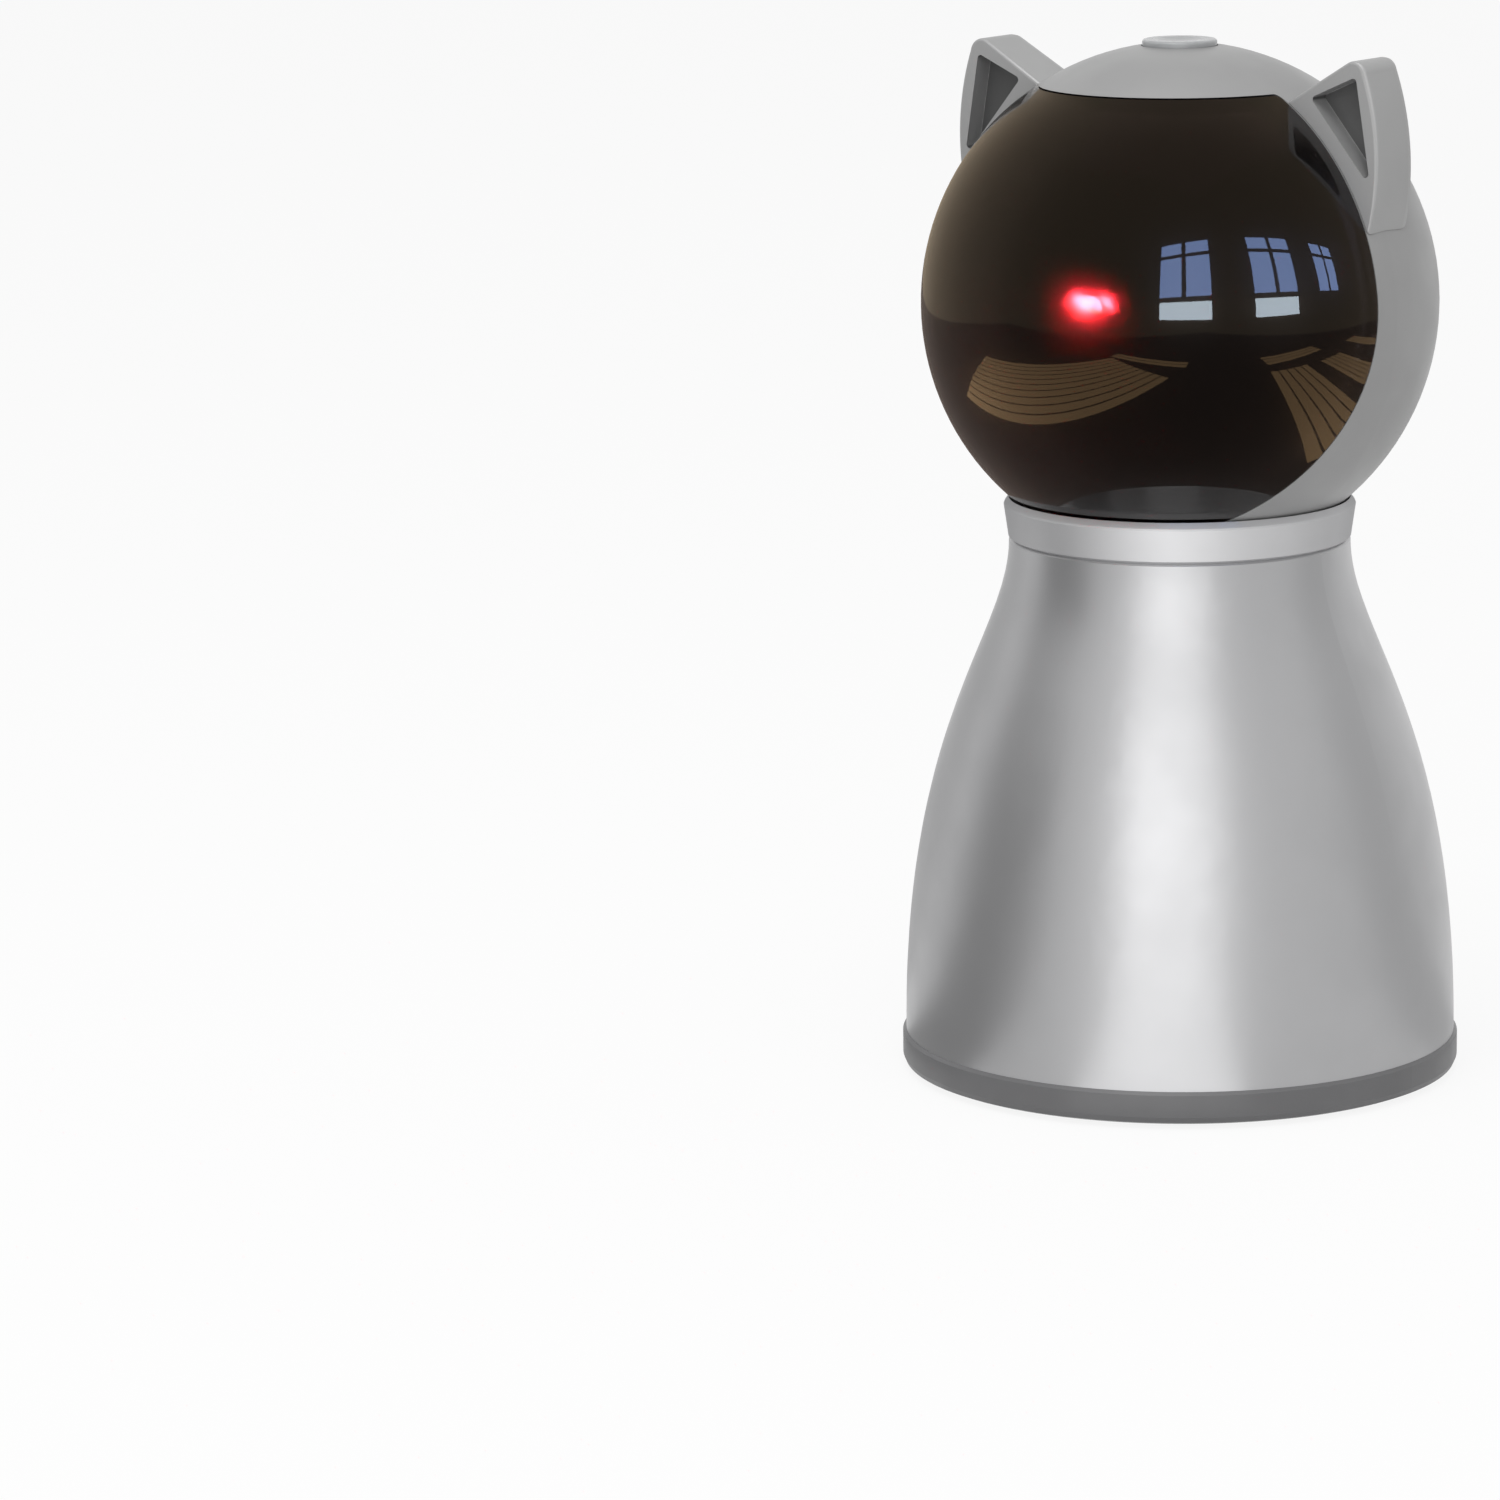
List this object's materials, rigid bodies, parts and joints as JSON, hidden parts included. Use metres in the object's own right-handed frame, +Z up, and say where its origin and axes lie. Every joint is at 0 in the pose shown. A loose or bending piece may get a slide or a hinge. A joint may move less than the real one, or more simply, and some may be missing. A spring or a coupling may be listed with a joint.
{
  "type": "automatic cat laser toy",
  "caption": "Bell-shaped stand with a round head, two ears and a smoked visor; a laser behind it pans and tilts on small gear trains to move a dot over the floor.",
  "frame": {"origin": "middle of the underside of the feet, on the surface that the toy stands on", "axes": "+Z up, the visor faces -Y, the right ear as seen from the front is at +X"},
  "size_m": [0.1, 0.1, 0.1848],
  "materials": {
    "base_plastic": "moulded dark grey plastic, fine texture",
    "body_silver": "satin silver paint on moulded plastic",
    "shell_grey": "satin grey painted plastic",
    "visor_smoke": "polished smoked plastic, nearly opaque",
    "button_white": "translucent white plastic",
    "foot_rubber": "soft black rubber",
    "steel": "zinc plated steel",
    "cell_sleeve": "shrink sleeve on a steel can",
    "board_green": "solder resist on glass fibre board",
    "chip_black": "moulded epoxy",
    "frame_black": "black glass-filled plastic",
    "gear_white": "natural acetal",
    "bronze": "sintered bronze",
    "brass": "turned brass",
    "lens_glass": "clear lens lit red by the diode",
    "motor_steel": "drawn steel can and plates",
    "plug_cream": "moulded nylon"
  },
  "bodies": {
    "stand": {"base_cover": "base_plastic", "rubber_feet": "foot_rubber", "base_screws": "steel", "body_shell": "body_silver", "battery_cell": "cell_sleeve", "cell_clamp": "frame_black", "clamp_screws": "steel", "main_board": "board_green", "board_parts": "chip_black", "board_screws": "steel", "charge_socket": "steel", "neck_collar": "body_silver", "neck_screws": "steel", "head_shell": "shell_grey", "visor": "visor_smoke", "left_ear": "shell_grey", "right_ear": "shell_grey", "ear_screws": "steel", "mode_switch": "steel", "button_board": "board_green", "button_board_screws": "steel", "indicator_led": "button_white", "mechanism_deck": "frame_black", "deck_screws": "steel", "pan_bush": "bronze", "pan_motor": "motor_steel", "pan_motor_clamp": "plug_cream", "pan_clamp_screws": "steel"},
    "button": {"power_button": "button_white", "switch_plunger": "frame_black"},
    "turret": {"yoke": "frame_black", "pan_gear": "gear_white", "pan_gear_screw": "steel", "tilt_motor": "motor_steel", "tilt_motor_strap": "plug_cream", "tilt_strap_screw": "steel"},
    "pan_drive": {"pan_shaft": "steel", "pan_pinion": "gear_white"},
    "laser": {"laser_cradle": "frame_black", "cradle_screw": "steel", "tilt_pins": "steel", "tilt_gear": "gear_white", "laser_barrel": "brass", "laser_diode": "bronze", "lens_nut": "brass", "laser_lens": "lens_glass", "laser_board": "board_green"},
    "tilt_drive": {"tilt_shaft": "steel", "tilt_pinion": "gear_white"}
  },
  "joints": [
    {"name": "button_press", "type": "slide", "parent": "stand", "child": "button", "axis": [0, 0, -1], "range_m": [0, 0.0008], "stiffness_N_per_m": 600, "springref_m": -0.0005},
    {"name": "pan", "type": "hinge", "parent": "stand", "child": "turret", "pos_m": [0, 0, 0.1384], "axis": [0, 0, 1], "range_deg": [-60, 60]},
    {"name": "pan_drive_spin", "type": "hinge", "parent": "stand", "child": "pan_drive", "pos_m": [0, 0.024, 0.1384], "axis": [0, 0, 1], "range_deg": [-180, 180]},
    {"name": "tilt", "type": "hinge", "parent": "turret", "child": "laser", "pos_m": [0, -0.012, 0.1477], "axis": [1, 0, 0], "range_deg": [-14, 29]},
    {"name": "tilt_drive_spin", "type": "hinge", "parent": "turret", "child": "tilt_drive", "pos_m": [0, 0.00101, 0.13804], "axis": [1, 0, 0], "range_deg": [-83, 40.1]}
  ],
  "couplings": [
    {"joint": "pan_drive_spin", "follows": "pan", "ratio": -3},
    {"joint": "tilt_drive_spin", "follows": "tilt", "ratio": -2.8571}
  ]
}
